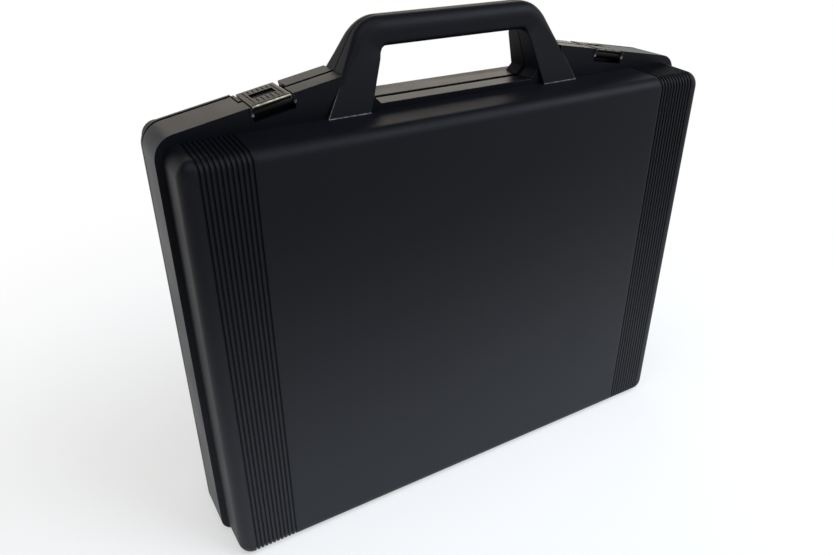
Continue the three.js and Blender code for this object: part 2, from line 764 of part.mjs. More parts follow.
const FOAM_BACK_REAR = -HALF_DEPTH + WALL + FOAM_GAP + FOAM_BACK_THICK;
const FOAM_TRAY_FRONT = FOAM_BACK_REAR + PARTING_GAP;
const FOAM_TRAY_REAR = FOAM_TRAY_FRONT + FOAM_TRAY_THICK;

function foamTray() {
  const pockets = [];
  for (let i = 0; i < POCKET_COUNT; i += 1) {
    pockets.push(knifePocket(i, FOAM_TRAY_FRONT - OVER, FOAM_TRAY_REAR + OVER));
  }
  return cut(foamLayer(FOAM_TRAY_FRONT, FOAM_TRAY_REAR), pockets);
}

// The lid's pad stands forward of its shell, so it is stepped over the two hinge rails
function lidFoam() {
  const front = LID_FOAM_THICK + WALL + FOAM_GAP - HALF_DEPTH;
  const railRear = HINGE_AXIS_Y + HALF_GAP + HINGE_RAIL_DEPTH + FOAM_GAP;
  const step = box(-FAR, FAR, -FAR, railRear, -FAR, HINGE_RAIL_HEIGHT + FOAM_GAP);
  return turned(foamLayer(-FAR, front)).subtract(toSolid(step));
}

function plastic(color, roughness) {
  return new THREE.MeshStandardMaterial({ color, roughness, metalness: 0 });
}

const shellBlack = plastic(0x1b1c1e, 0.55);
const latchBlack = plastic(0x141415, 0.4);
const pinSteel = new THREE.MeshStandardMaterial({ color: 0x9a9c9e, roughness: 0.35, metalness: 1 });
const foamGrey = plastic(0x2c2d30, 0.95);

const knifeCase = new THREE.Group();

function addPart(name, solid, material) {
  const mesh = new THREE.Mesh(toGeometry(solid), material);
  mesh.name = name;
  knifeCase.add(mesh);
}

addPart('front_shell', frontShell(), shellBlack);
addPart('lid_shell', lidShell(), shellBlack);
addPart('latch_left', latch(-1), latchBlack);
addPart('latch_right', latch(1), latchBlack);
addPart('latch_pin_left', latchPin(-1), pinSteel);
addPart('latch_pin_right', latchPin(1), pinSteel);
addPart('hinge_pin_left', hingePin(-1), pinSteel);
addPart('hinge_pin_right', hingePin(1), pinSteel);
addPart('foam_back_layer', foamLayer(-FAR, FOAM_BACK_REAR), foamGrey);
addPart('foam_knife_tray', foamTray(), foamGrey);
addPart('lid_foam', lidFoam(), foamGrey);

export default knifeCase;
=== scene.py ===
"""Looks of a hard case for kitchen knives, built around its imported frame.

Every surface is worked out in millimetres in the frame's own axes (X along the case, Y from the
front shell to the lid, Z up) and put into its mesh in metres.
"""

import math

import bmesh
import bpy
import numpy as np
from bpy.props import FloatProperty, FloatVectorProperty, IntProperty, PointerProperty
from mathutils import Matrix, Vector


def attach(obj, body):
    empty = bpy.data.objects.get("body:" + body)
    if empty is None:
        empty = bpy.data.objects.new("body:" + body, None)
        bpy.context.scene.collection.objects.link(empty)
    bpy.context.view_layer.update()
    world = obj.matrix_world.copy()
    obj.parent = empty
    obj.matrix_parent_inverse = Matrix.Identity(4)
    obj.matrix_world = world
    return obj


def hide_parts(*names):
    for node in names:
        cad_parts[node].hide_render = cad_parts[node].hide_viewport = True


bl_info = {
    "name": "Hard knife case",
    "version": (1, 0, 0),
    "blender": (4, 5, 0),
    "location": "3D View > Sidebar > Knife case",
    "description": "Shells, handle, latches, hinges and foam of a hard knife case",
    "category": "Object",
}

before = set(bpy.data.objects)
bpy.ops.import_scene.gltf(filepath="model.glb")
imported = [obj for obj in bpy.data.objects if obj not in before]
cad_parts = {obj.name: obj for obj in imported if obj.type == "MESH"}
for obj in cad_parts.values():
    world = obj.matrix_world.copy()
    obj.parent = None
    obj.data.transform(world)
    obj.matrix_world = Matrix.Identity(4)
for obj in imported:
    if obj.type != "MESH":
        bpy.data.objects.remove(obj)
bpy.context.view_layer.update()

MM = 0.001
TAU = 2 * math.pi

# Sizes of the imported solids, in millimetres
HALF_DEPTH = 52.0
WALL = 3.0
RIM_HALF = 217.5
RIM_FACE = 16.3
RIM_INSET = 7.0
RIM_CORNER = 16.0
BASE_CORNER = 12.0
SHOULDER_X = 200.6
SHOULDER_Z = 331.6
SHOULDER_RISE = 0.18
BODY_HALF = 213.5
BODY_TOP = 326.6
BODY_CORNER = 11.7
BODY_TOP_DRAFT = 3.3
FIRST_GROOVE = 168.6
LATCH_X = 141.2
LATCH_HALF = 13.2
NOTCH_HALF = 14.5
EAR_MIDDLE = 14.6
SEAT_HALF = 15.95
TAB_HALF = 16.7
STEP_X = 157.9
LEG_X = 90.9
PIVOT_Y = -13.5
PIVOT_W = -4.2
HANDLE_TOP = 384.0
OPENING_TOP = 365.2
SILL_Z = 329.3
SKIRT_Z = 322.0
LID_SKIRT_Z = 323.6
HINGE_Z = 4.2
HINGE_X = 130.0
HINGE_LENGTH = 62.0
HINGE_ANGLE = 52.5
RAIL = 8.0
RAIL_REACH = 8.15
KNUCKLES = 5
KNUCKLE_GAP = 0.6
KNUCKLE_STEP = (HINGE_LENGTH + KNUCKLE_GAP) / KNUCKLES
KNUCKLE_HALF = (KNUCKLE_STEP - KNUCKLE_GAP) / 2
FOAM_GAP = 3.4
FOAM_LEAN = 0.6
FOAM_HALF = BODY_HALF - FOAM_GAP - FOAM_LEAN
FOAM_CORNER = 9.6
POCKETS = 5
POCKET_END = 192.5
POCKET_HEEL = -70.5

# The seams, which only this script draws: the gap's and the grooves' half widths, their depth
HALF_GAP = 0.01
SEAM = 1.6
SIDE_SEAM = 0.5
SILL_SEAM = 2.3
HANDLE_SEAM = 0.5
SEAM_DEPTH = 1.8

SLOPE = math.atan(SHOULDER_RISE)
GROOVE_OFFSETS = [0.0, 0.3, 0.5, 0.66, 0.8, 1.05]

# How meshes are made: an arc's steps, the merging distance in metres, the angle of a sharp edge,
# and the width, segments and angle of a small rounding
ARC_STEPS = 10
MERGE = 2e-6
SHARP = math.radians(38)
SMALL_EDGE = (0.2 * MM, 2, 50)
HALF_TURN = np.array([-1.0, -1.0, 1.0])
WHITE = (1.0, 1.0, 1.0, 1.0)


def shoulder_z(x):
    """Height of the sloping shoulder: a straight line that falls evenly away from the handle."""
    return SHOULDER_Z + SHOULDER_RISE * (SHOULDER_X - np.abs(x))


# ---- settings ----


def linear(value):
    """An sRGB hex value as linear red, green and blue."""
    parts = [int(value[i:i + 2], 16) / 255 for i in (1, 3, 5)]
    return tuple(p / 12.92 if p <= 0.04045 else ((p + 0.055) / 1.055) ** 2.4 for p in parts)


def length_setting(name, description, value):
    """A length property whose default is given in millimetres."""
    return FloatProperty(
        name=name, description=description, unit="LENGTH", precision=5, default=value * MM)


def colour_setting(name, description, value):
    """A colour property whose default is an sRGB hex value."""
    return FloatVectorProperty(name=name, description=description, subtype="COLOR", size=3,
                               min=0, max=1, default=linear(value))


class KnifeCaseShape(bpy.types.PropertyGroup):
    """Sizes that a user would change."""

    groove_pitch: length_setting("Groove pitch", "Distance from one flute to the next", 3.2)
    groove_depth: length_setting("Groove depth", "Depth of the flutes near both ends", 1.45)
    groove_count: IntProperty(
        name="Grooves", description="Flutes at each end of a shell", default=11, min=0, max=11)
    body_fillet: length_setting("Face rounding", "Radius between a shell's face and its sides", 9.0)
    edge_round: length_setting("Edge rounding", "Radius of the moulded edges of the rim", 0.35)
    rib_height: length_setting("Rib height", "Height of the finger ribs on a latch", 0.45)
    foam_wave: length_setting("Foam wave", "Depth of the waves of the lid's foam pad", 11.0)
    foam_period: length_setting("Foam period", "Distance from one foam peak to the next", 28.0)


class KnifeCaseFinish(bpy.types.PropertyGroup):
    """Colours that a user would change."""

    shell: colour_setting("Shell", "Moulded plastic of both shells and the handle", "#07080E")
    latch: colour_setting("Latch", "Moulded plastic of the latches", "#0B0A09")
    steel: colour_setting("Pins", "Plain steel of the pins", "#A3A6A8")
    foam: colour_setting("Foam", "Open-cell foam of the inserts", "#35363A")
    floor: colour_setting("Floor", "Pale studio floor", "#F4F4F4")


def chosen(context):
    """The scene's sizes and colours of the case."""
    return context.scene.knife_case_shape, context.scene.knife_case_finish


# ---- mesh helpers ----


def grid_cells(index):
    """The corners of every cell of a grid of vertex numbers."""
    return np.stack([index[:-1, :-1], index[1:, :-1], index[1:, 1:], index[:-1, 1:]], -1)


def grid_quads(index, close_rows=False, close_columns=False):
    """Quads over a grid of vertex numbers; a closed side joins its last line to its first."""
    if close_rows:
        index = np.r_[index, index[:1]]
    if close_columns:
        index = np.c_[index, index[:, :1]]
    return grid_cells(index).reshape(-1, 4)


def new_object(name, data):
    """An object in the scene for a mesh, a lamp or a camera."""
    item = bpy.data.objects.new(name, data)
    bpy.context.scene.collection.objects.link(item)
    return item


def solid(name, points, faces, wear_and_highlight=None):
    """A closed smooth-shaded mesh object from points in millimetres and lists of faces. The
    optional shares, from 0 to 1, say how pale each point's edge is painted: rubbed on the handle,
    a painted highlight on the latches and ears."""
    mesh = bpy.data.meshes.new(name)
    rows = [face for group in faces for face in np.asarray(group).tolist()]
    mesh.from_pydata((np.asarray(points, float) * MM).tolist(), [], rows)
    if wear_and_highlight is not None:
        rubbed_and_highlit = mesh.attributes.new("wear_and_highlight", "FLOAT", "POINT")
        rubbed_and_highlit.data.foreach_set("value", np.ravel(wear_and_highlight).astype(np.float32))
    shape = bmesh.new()
    shape.from_mesh(mesh)
    bmesh.ops.remove_doubles(shape, verts=shape.verts, dist=MERGE)
    bmesh.ops.dissolve_degenerate(shape, dist=MERGE, edges=shape.edges)
    bmesh.ops.recalc_face_normals(shape, faces=shape.faces)
    for face in shape.faces:
        face.smooth = True
    shape.to_mesh(mesh)
    shape.free()
    mesh.set_sharp_from_angle(angle=SHARP)
    return new_object(name, mesh)


def loft(name, rows, closed=False, wear_and_highlight=None):
    """A solid through a row of closed sections of equal point counts, flat at both ends."""
    rows = np.asarray(rows, float)
    index = np.arange(rows.shape[0] * rows.shape[1]).reshape(rows.shape[:2])
    faces = [grid_quads(index, close_rows=closed, close_columns=True)]
    if not closed:
        faces += [index[:1, ::-1], index[-1:]]
    return solid(name, rows.reshape(-1, 3), faces, wear_and_highlight)


def plate_arrays(a, b, top, bottom, keep):
    """A solid between two height fields over one grid. Cells that keep leaves out are holes, and
    a wall joins the fields along every edge with a kept cell on one side only."""
    index = np.arange(top.size).reshape(top.shape)
    shift = top.size
    points = np.concatenate([np.stack([a, b, w], -1).reshape(-1, 3) for w in (top, bottom)])
    cells = grid_cells(index)[keep]
    faces = [cells, cells[:, ::-1] + shift]
    around = np.pad(keep, 1).astype(int)
    across = around[1:, 1:-1] - around[:-1, 1:-1]
    along = around[1:-1, 1:] - around[1:-1, :-1]
    for change, down, right in ((across, 0, 1), (along, 1, 0)):
        r, c = np.nonzero(change)
        near, far = index[r, c], index[r + down, c + right]
        faces.append(np.stack([near, far, far + shift, near + shift], -1))
    return points, faces


def arc(x, z, radius, start, end):
    """Points and outward directions along a circle's arc, between two angles in degrees."""
    turn = np.radians(np.linspace(start, end, ARC_STEPS + 1))
    way = np.c_[np.cos(turn), np.sin(turn)]
    return np.array([x, z]) + radius * way, way


def round_share(distance, radius):
    """How far a rounded edge has dropped at a distance in from it: a quarter circle."""
    into = np.clip(distance / radius, 0, 1)
    return radius * (1 - np.sqrt(np.clip(1 - (1 - into) ** 2, 0, 1)))


def round_edges(piece, width, segments=3, angle=35):
    """Rounds a piece's sharp edges and keeps its flat faces flat in the light."""
    bevel = piece.modifiers.new("Edges", "BEVEL")
    bevel.width = width
    bevel.segments = segments
    bevel.limit_method = "ANGLE"
    bevel.angle_limit = math.radians(angle)
    bevel.harden_normals = True
    return piece


def fit(piece, body, slot, material, *nodes):
    """Gives a piece its material and its body, and hides the CAD nodes it stands for. The slot is
    not used.
    """
    piece.data.materials.append(material)
    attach(piece, body)
    if nodes:
        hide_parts(*nodes)
    return piece


def to_shoulder(points, side):
    """Points (along the slope, depth, height off it) placed on a shoulder at its latch: the slope
    turns them about Y, and its middle moves them to the latch."""
    u, y, w = np.moveaxis(np.asarray(points, float), -1, 0)
    x = side * LATCH_X + u * math.cos(SLOPE) + side * w * math.sin(SLOPE)
    z = shoulder_z(LATCH_X) - side * u * math.sin(SLOPE) + w * math.cos(SLOPE)
    return np.stack([x, y, z], -1)


# ---- materials ----


def node(tree, kind, settings=None, inputs=None, links=None):
    """Adds one node: settings are its own, inputs are socket values, links are socket sources."""
    made = tree.nodes.new("ShaderNode" + kind)
    for key, value in (settings or {}).items():
        setattr(made, key, value)
    for key, value in (inputs or {}).items():
        made.inputs[key].default_value = value
    for key, source in (links or {}).items():
        tree.links.new(source, made.inputs[key])
    return made


def new_material(name):
    """A material, its empty node tree and its object coordinates."""
    material = bpy.data.materials.new(name)
    material.use_nodes = True
    tree = material.node_tree
    tree.nodes.clear()
    return material, tree, node(tree, "TexCoord").outputs["Object"]


def surface(tree, kind, inputs=None, links=None):
    """Adds a material's last shader and its output."""
    shader = node(tree, kind, inputs=inputs, links=links)
    node(tree, "OutputMaterial", links={"Surface": shader.outputs[0]})


def noise(tree, place, scale, detail=2.0, roughness=0.5):
    """Soft noise at a scale per metre."""
    return node(tree, "TexNoise", links={"Vector": place},
                inputs={"Scale": scale, "Detail": detail, "Roughness": roughness}).outputs["Fac"]


def remap(tree, value, start, end, low, high, kind="LINEAR"):
    """A value taken from start..end to low..high."""
    return node(tree, "MapRange", {"interpolation_type": kind},
                {"From Min": start, "From Max": end, "To Min": low, "To Max": high},
                {"Value": value}).outputs["Result"]


def maths(tree, operation, a, b):
    """Two values put together."""
    return node(tree, "Math", {"operation": operation}, links={0: a, 1: b}).outputs[0]


def ramp(tree, value, *stops):
    """A colour by value, between two stops of (position, colour)."""
    made = node(tree, "ValToRGB", links={"Fac": value})
    for element, (position, colour) in zip(made.color_ramp.elements, stops):
        element.position, element.color = position, colour
    return made.outputs["Color"]


def cover(tree, share, under, over):
    """A colour covered in the given share by an sRGB hex colour."""
    return node(tree, "Mix", {"data_type": "RGBA"}, {7: linear(over) + (1.0,)},
                {0: share, 6: under}).outputs[2]


def bump(tree, height, strength, distance):
    """Normals raised by a height, over a distance in millimetres."""
    return node(tree, "Bump", inputs={"Strength": strength, "Distance": distance * MM},
                links={"Height": height}).outputs["Normal"]


def tone(colour, factor):
    """A linear colour made lighter or darker, with full opacity."""
    return tuple(c * factor for c in colour) + (1.0,)


def moulded_plastic(name, colour, roughness, grain, depth, index, worn="#A6A7A6"):
    """Injection-moulded plastic: a fine spark-eroded grain breaks up the light, handling leaves
    broad patches where it is a little glossier, edges turn pale where they are rubbed and where a
    highlight is painted on them, and a painted reflection of the floor lightens it low down."""
    material, tree, place = new_material(name)
    # Broad patches about 60 mm across, from handling and from the flow of the melt
    broad = noise(tree, place, 16.0, 3.0, 0.55)
    shade = ramp(tree, broad, (0.3, tone(colour, 0.86)), (0.72, tone(colour, 1.16)))
    gloss = remap(tree, broad, 0.3, 0.7, roughness - 0.04, roughness + 0.04)
    # Painted reflection of the pale floor: a lighter grey low on the case, thinning out over 300 mm
    height = node(tree, "SeparateXYZ", links={"Vector": place}).outputs["Z"]
    painted_floor_reflection = remap(tree, height, 0.0, 0.3, 0.13, 0.0, "SMOOTHSTEP")
    with_floor_reflection = cover(tree, painted_floor_reflection, shade, "#6E7278")
    # Edges painted pale in streaks about 4 mm long: rubbed on the handle, a painted highlight on
    # the latch noses and ears
    wear_and_highlight = node(tree, "Attribute", {"attribute_name": "wear_and_highlight"}).outputs["Fac"]
    streak = remap(tree, noise(tree, place, 250.0), 0.35, 0.6, 0.3, 1.0)
    worn_and_highlit = cover(tree, maths(tree, "MULTIPLY", wear_and_highlight, streak), with_floor_reflection, worn)
    # Grain of the mould face, drawn coarser than the real 0.2 mm so that it shows
    fine = noise(tree, place, 1 / (grain * MM))
    surface(tree, "BsdfPrincipled", {"IOR": index}, {
        "Base Color": worn_and_highlit, "Roughness": gloss, "Normal": bump(tree, fine, 0.35, depth)})
    return material


def drawn_steel(name, colour):
    """Drawn steel wire, cut to length: fine marks run along the pin."""
    material, tree, place = new_material(name)
    stretched = node(tree, "Mapping", inputs={"Scale": (40.0, 4000.0, 4000.0)},
                     links={"Vector": place}).outputs["Vector"]
    gloss = remap(tree, noise(tree, stretched, 1.0), 0.0, 1.0, 0.22, 0.42)
    surface(tree, "BsdfPrincipled", {"Base Color": tone(colour, 1.0), "Metallic": 1.0},
            {"Roughness": gloss})
    return material


def open_cell_foam(name, colour):
    """Open-cell polyurethane foam, cut by knife and wire: a pitted matt surface, with painted shade
    in the pits.
    """
    material, tree, place = new_material(name)
    # Cells of 1.6 mm, drawn coarser than the real 0.6 mm so that they show
    cells = node(tree, "TexVoronoi", links={"Vector": place},
                 inputs={"Scale": 1 / (1.6 * MM), "Randomness": 1.0}).outputs["Distance"]
    depth = maths(tree, "MULTIPLY", cells, noise(tree, place, 45.0, 4.0))
    # Each cell darkens towards its pit: painted shade
    shade = ramp(tree, cells, (0.05, tone(colour, 0.5)), (0.6, tone(colour, 1.2)))
    surface(tree, "BsdfPrincipled",
            {"Roughness": 0.95, "Specular IOR Level": 0.2, "Sheen Weight": 0.15},
            {"Base Color": shade, "Normal": bump(tree, depth, 0.8, 0.5)})
    return material


def shared(name, make, colour, **values):
    """A material that is made once and then found by its name."""
    return bpy.data.materials.get(name) or make(name, colour, **values)


def shell_plastic(finish):
    """Black ABS with a spark-eroded grain: matt from the front, a soft sheen towards the light."""
    return shared("Black_ABS_spark_eroded", moulded_plastic, finish.shell,
                  roughness=0.5, grain=0.9, depth=0.06, index=1.21)


def rim_plastic(finish):
    """Black ABS from a smoother part of the mould: the same colour with a clearer sheen."""
    return shared("Black_ABS_smooth", moulded_plastic, finish.shell,
                  roughness=0.4, grain=0.9, depth=0.03, index=1.19)


def latch_plastic(finish):
    """Black acetal, moulded smooth: a little glossier than the shells."""
    # The pale edge colour is the cream of the painted highlight along the latch noses
    return shared("Black_acetal_smooth", moulded_plastic, finish.latch,
                  roughness=0.34, grain=1.4, depth=0.03, index=1.16, worn="#BDB5A0")


# ---- shell bodies ----


def groove_depth(x, shape):
    """Depth of the flutes at x: each is deepest over its middle and eases out to a softly crowned
    ridge, the same to the left and right."""
    pitch = shape.groove_pitch / MM
    turn = (np.abs(x) - FIRST_GROOVE) / pitch
    number = np.clip(np.round(turn), 0, shape.groove_count - 1)
    off = np.abs(turn - number) * pitch
    share = np.interp(off, GROOVE_OFFSETS + [1.6], [1.0, 0.97, 0.84, 0.3, 0.09, 0.02, 0.0])
    return share * shape.groove_depth / MM


def groove_columns(shape):
    """Where the body needs columns of points: close together over each flute."""
    offsets = np.array(GROOVE_OFFSETS)
    centres = FIRST_GROOVE + np.arange(shape.groove_count) * shape.groove_pitch / MM
    right = (centres[:, None] + np.r_[-offsets[::-1], offsets]).ravel()
    right = np.r_[0.0, 40.0, 80.0, 120.0, 150.0, 165.5, right, 202.6]
    right = np.unique(np.round(right, 4))
    corner = BODY_HALF - BODY_CORNER
    right = np.append(right[right < corner - 0.02], corner)
    return np.r_[-right[:0:-1], right]


def body_outline(columns):
    """The body's outline from the front with its outward directions: level runs of columns below
    and above, joined by quarter circles at the corners and the straight ends."""
    centre = BODY_HALF - BODY_CORNER
    low, high = BODY_CORNER, BODY_TOP - BODY_CORNER
    level = np.zeros_like(columns)
    after, before = slice(1, None), slice(None, -1)

    def corner(x, z, start, part):
        return [rows[part] for rows in arc(x, z, BODY_CORNER, start, start + 90)]

    parts = [
        (np.c_[columns, level], np.c_[level, level - 1]),
        corner(centre, low, -90, after), corner(centre, high, 0, before),
        (np.c_[columns[::-1], level + BODY_TOP], np.c_[level, level + 1]),
        corner(-centre, high, 90, after), corner(-centre, low, 180, before),
    ]
    return [np.concatenate(group) for group in zip(*parts)]


def lean(points):
    """The body narrows evenly from the rim to its face: its top falls by the draft in proportion
    to height, and its ends come in by 1 mm."""
    x, y, z = np.moveaxis(points, -1, 0)
    forward = (RIM_FACE - y) / (RIM_FACE + HALF_DEPTH)
    share = np.clip((np.abs(x) - (BODY_HALF - BODY_CORNER)) / BODY_CORNER, 0, 1)
    return np.stack([
        x - np.sign(x) * forward * share, y, z * (1 - forward * BODY_TOP_DRAFT / BODY_TOP)], -1)


def hinge_setback(z):
    """How far the hinge's V groove sets a shell back from the axis: in proportion to the height
    below it."""
    return np.maximum(HINGE_Z - z, 0) * math.tan(math.radians(HINGE_ANGLE))


def body_points(shape, rear):
    """A shell's body in the front position. The outline is moved in and forward along a quarter
    circle from the sides to the face, the flutes sink it along its own normal, and an inner skin
    follows the wall's thickness inside it. A rear edge inside the rim is tucked in under it, and
    one at the rim's face is set back by the hinge's V groove."""
    columns = groove_columns(shape)
    outline, out = body_outline(columns)
    fillet = shape.body_fillet / MM
    count, wide = len(outline), len(columns)
    sink = np.where(np.abs(out[:, 0]) < 1e-9, groove_depth(outline[:, 0], shape), 0.0)

    def skin(inset, depth, side, face):
        move = inset[:, None] + side[:, None] * sink
        y = depth[:, None] + face[:, None] * sink
        return np.stack([outline[:, 0] - move * out[:, 0], y, outline[:, 1] - move * out[:, 1]], -1)

    straight, past_rim, crease = fillet - HALF_DEPTH, -RIM_FACE - 1.2, 0.8
    tuck = 0.4 if rear > -RIM_FACE else 0.0
    turn = np.linspace(0, math.pi / 2, 13)
    outer = skin(
        np.r_[tuck, 0, 0, fillet * (1 - np.cos(turn)), fillet + crease],
        np.r_[rear, past_rim, straight + crease, straight - fillet * np.sin(turn), -HALF_DEPTH],
        np.r_[1, 1, 1, np.cos(turn), 0], np.r_[0, 0, 0, np.sin(turn), 1])
    small = fillet - WALL
    turn = np.linspace(math.pi / 2, 0, 7)
    plain = np.zeros(len(turn) + 1)
    inner = skin(np.r_[WALL + small * (1 - np.cos(turn)), WALL],
                 np.r_[straight - small * np.sin(turn), rear], plain, plain)
    loops = np.r_[outer, inner]
    if rear < -RIM_FACE:
        loops[..., 1] = np.minimum(loops[..., 1], -RIM_FACE - hinge_setback(loops[..., 2]))
    total = loops.shape[0] * count
    index = np.arange(total).reshape(-1, count)
    quads = grid_quads(index, close_rows=True, close_columns=True)
    # The rows between the last outer and the first inner loop are left out for the two faces
    faces = [np.delete(quads, np.s_[(len(outer) - 1) * count:len(outer) * count], 0)]
    points = [loops.reshape(-1, 3)]
    top = slice(count - 2 * ARC_STEPS - wide, count - 2 * ARC_STEPS)
    for loop, rows in ((len(outer) - 1, 7), (len(outer), 2)):
        low, high = index[loop, :wide], index[loop, top][::-1]
        share = np.linspace(0, 1, rows)[1:-1, None, None]
        first, last = loops[loop, :wide], loops[loop, top][::-1]
        middle = first + (last - first) * share
        numbers = total + np.arange(middle.shape[0] * wide).reshape(-1, wide)
        total += numbers.size
        points.append(middle.reshape(-1, 3))
        grid = np.r_[low[None], numbers, high[None]]
        right = [low[-1:], index[loop, wide:top.start], high[-1:], grid[1:-1, -1][::-1]]
        left = [high[:1], index[loop, top.stop:], low[:1], grid[1:-1, 0]]
        faces += [grid_quads(grid), np.concatenate(right)[None], np.concatenate(left)[None]]
    return lean(np.concatenate(points)), faces


# ---- rim and shoulders ----


def on_slope(offset):
    """X of a point on the right shoulder, at an offset along the slope from the latch."""
    return LATCH_X + offset * math.cos(SLOPE)


def rim_path(breaks):
    """The rim's outline and outward directions from the left leg of the handle down round the
    bottom and up to the right leg. breaks are the right shoulder's stations from its outer end,
    each (x, flags...), mirrored on the left."""
    xs = np.array([b[0] for b in breaks])
    flags = np.array([b[1:] for b in breaks])
    stretch = math.hypot(1, SHOULDER_RISE)
    slope = np.array([SHOULDER_RISE, 1.0]) / stretch
    right = np.c_[xs, shoulder_z(xs)]
    cx = RIM_HALF - RIM_CORNER
    cz = shoulder_z(cx) - RIM_CORNER * stretch
    corner, corner_way = arc(cx, cz, RIM_CORNER, 0, 90 - math.degrees(SLOPE))
    base, base_way = arc(RIM_HALF - BASE_CORNER, BASE_CORNER, BASE_CORNER, -90, 0)
    points = np.r_[base, corner, right]
    ways = np.r_[base_way, corner_way, np.broadcast_to(slope, right.shape)]
    marks = np.r_[np.zeros((len(base) + len(corner), flags.shape[1])), flags]
    mirror = np.array([-1.0, 1.0])
    return (np.r_[points[::-1] * mirror, points], np.r_[ways[::-1] * mirror, ways],
            np.r_[marks[::-1], marks].astype(bool))


def row_at(points, ways, inset, y):
    """One lengthwise row: the outline moved in by inset, at depth y."""
    moved = points - np.broadcast_to(inset, len(points))[:, None] * ways
    return np.c_[moved[:, 0], np.broadcast_to(y, len(points)), moved[:, 1]]


def inner_end(points, ways, y, height):
    """The inner edge of the rim's flat wall: one inset in from the outline, and under the
    shoulders as far in as brings it level with the body's wall."""
    on_top = (ways[:, 1] > 0.97) & (points[:, 1] > 300)
    inset = np.where(on_top, (points[:, 1] - height) / ways[:, 1].clip(0.5), RIM_INSET)
    return row_at(points, ways, inset, y)


def seam_half(points):
    """Half the width of the seam's groove: narrow down the sides, and wider in proportion to
    height round the upper corners up to the shoulders."""
    return np.interp(points[:, 1], [SHOULDER_Z - RIM_CORNER, SHOULDER_Z], [SIDE_SEAM, SEAM])


def bottom_cut(points, ways, rear, towards):
    """The lower edge of a rim's open side, set back by the hinge's V groove, and how far in from
    the outline the groove ends: its height over the outward direction's fall."""
    back = hinge_setback(points[:, 1])
    rise = np.maximum(HINGE_Z - 0.1 - points[:, 1], 0) / np.clip(-ways[:, 1], 0.6, 1)
    return np.where(back > 0, RIM_FACE - towards * back, rear), rise


def front_rim_rows():
    """The front rim: one closed profile carried along the outline. Its wall steps back to the
    middle of the case between the lid's steps, drops to the latch floors and pockets, and has a
    rail above the hinge."""
    step = STEP_X + 0.4
    seat_out, notch_out, notch_in, seat_in = (
        on_slope(offset) for offset in (SEAT_HALF, NOTCH_HALF, -NOTCH_HALF, -SEAT_HALF))
    # Stations: x, then whether it is between the steps, at the latch's seat, at its notch
    p, n, marks = rim_path([
        (step, 0, 0, 0), (step, 1, 0, 0), (seat_out, 1, 0, 0), (seat_out, 1, 1, 0),
        (notch_out, 1, 1, 0), (notch_out, 1, 1, 1), (notch_in, 1, 1, 1), (notch_in, 1, 1, 0),
        (seat_in, 1, 1, 0), (seat_in, 1, 0, 0), (LEG_X, 1, 0, 0)])
    mid, seat, notch = marks.T
    low = p[:, 1] < 0.001
    inside, barrel_y, seat_y = WALL - RIM_FACE, -8.8, -6.6
    rear = np.where(mid, -HALF_GAP, RIM_FACE - HALF_GAP)
    edge = np.where(mid, 0.0, RIM_FACE) - seam_half(p)
    cut, rise = bottom_cut(p, n, rear, 1)
    cut = np.where(mid, edge, np.minimum(cut, edge))
    pocket = np.where(notch, 9.8, 0.0)
    floor = np.where(notch, 3.3, 0.0)
    lip = np.maximum(floor, rise)
    under = np.maximum(np.where(seat, 5.5, WALL), lip + SEAM_DEPTH + 0.4)
    rail, rail_end = np.where(low, RAIL, under), np.where(low, RAIL_REACH, rear)
    shelf, block = np.where(seat, seat_y, inside), np.where(seat, 12.0, WALL)
    rows = [row_at(p, n, inset, y) for inset, y in (
        (pocket, -RIM_FACE), (pocket, barrel_y), (floor, barrel_y), (floor, cut), (lip, edge),
        (lip + SEAM_DEPTH, edge), (lip + SEAM_DEPTH, rear), (rail, rear), (rail, rail_end),
        (under, rail_end), (under, shelf), (block, shelf), (block, inside))]
    rows += [inner_end(p, n, y, SKIRT_Z) for y in (inside, -RIM_FACE)]
    return np.stack(rows, 1)


def lid_rim_rows():
    """The lid's flange, and between its steps the roof over the middle of the case, which drops
    to a floor under each latch."""
    step, notch_out, tab_in = STEP_X - 0.6, on_slope(NOTCH_HALF), on_slope(-TAB_HALF)
    # Stations: x, then whether it is between the steps, at the latch's notch
    p, n, marks = rim_path([
        (step, 0, 0), (step, 1, 0), (notch_out, 1, 0), (notch_out, 1, 1), (tab_in, 1, 1),
        (tab_in, 1, 0), (LEG_X, 1, 0)])
    mid, notch = marks.T
    low = p[:, 1] < 0.001
    front = np.where(mid, HALF_GAP, RIM_FACE + HALF_GAP)
    edge = np.where(mid, 0.0, RIM_FACE) + seam_half(p)
    rear = np.where(mid, RIM_FACE, RIM_FACE + HALF_GAP + 4)
    cut, rise = bottom_cut(p, n, front, -1)
    cut = np.where(mid, edge, np.maximum(cut, edge))
    floor = np.where(notch, 3.6, 0.0)
    lip = np.maximum(floor, rise)
    under = np.where(notch, 5.8, WALL)
    wall = np.where(mid, RIM_FACE - WALL, front)
    thick = np.where(low, RAIL, np.where(mid, under, RIM_INSET))
    inner = row_at(p, n, thick, wall)
    back = row_at(p, n, np.where(low, RAIL, RIM_INSET), np.where(low, RIM_FACE + RAIL_REACH, rear))
    down, down_rear = (inner_end(p, n, y, LID_SKIRT_Z) for y in (wall, rear))
    beside = (n[:, 1] < 0.97) | (p[:, 1] < 300)
    down[beside], down_rear[beside] = inner[beside], back[beside]
    rows = [row_at(p, n, inset, y) for inset, y in (
        (lip + SEAM_DEPTH, front), (lip + SEAM_DEPTH, edge), (lip, edge), (floor, cut),
        (floor, np.maximum(rear, cut)))]
    return np.stack(rows + [down_rear, down, inner, row_at(p, n, thick, front)], 1)


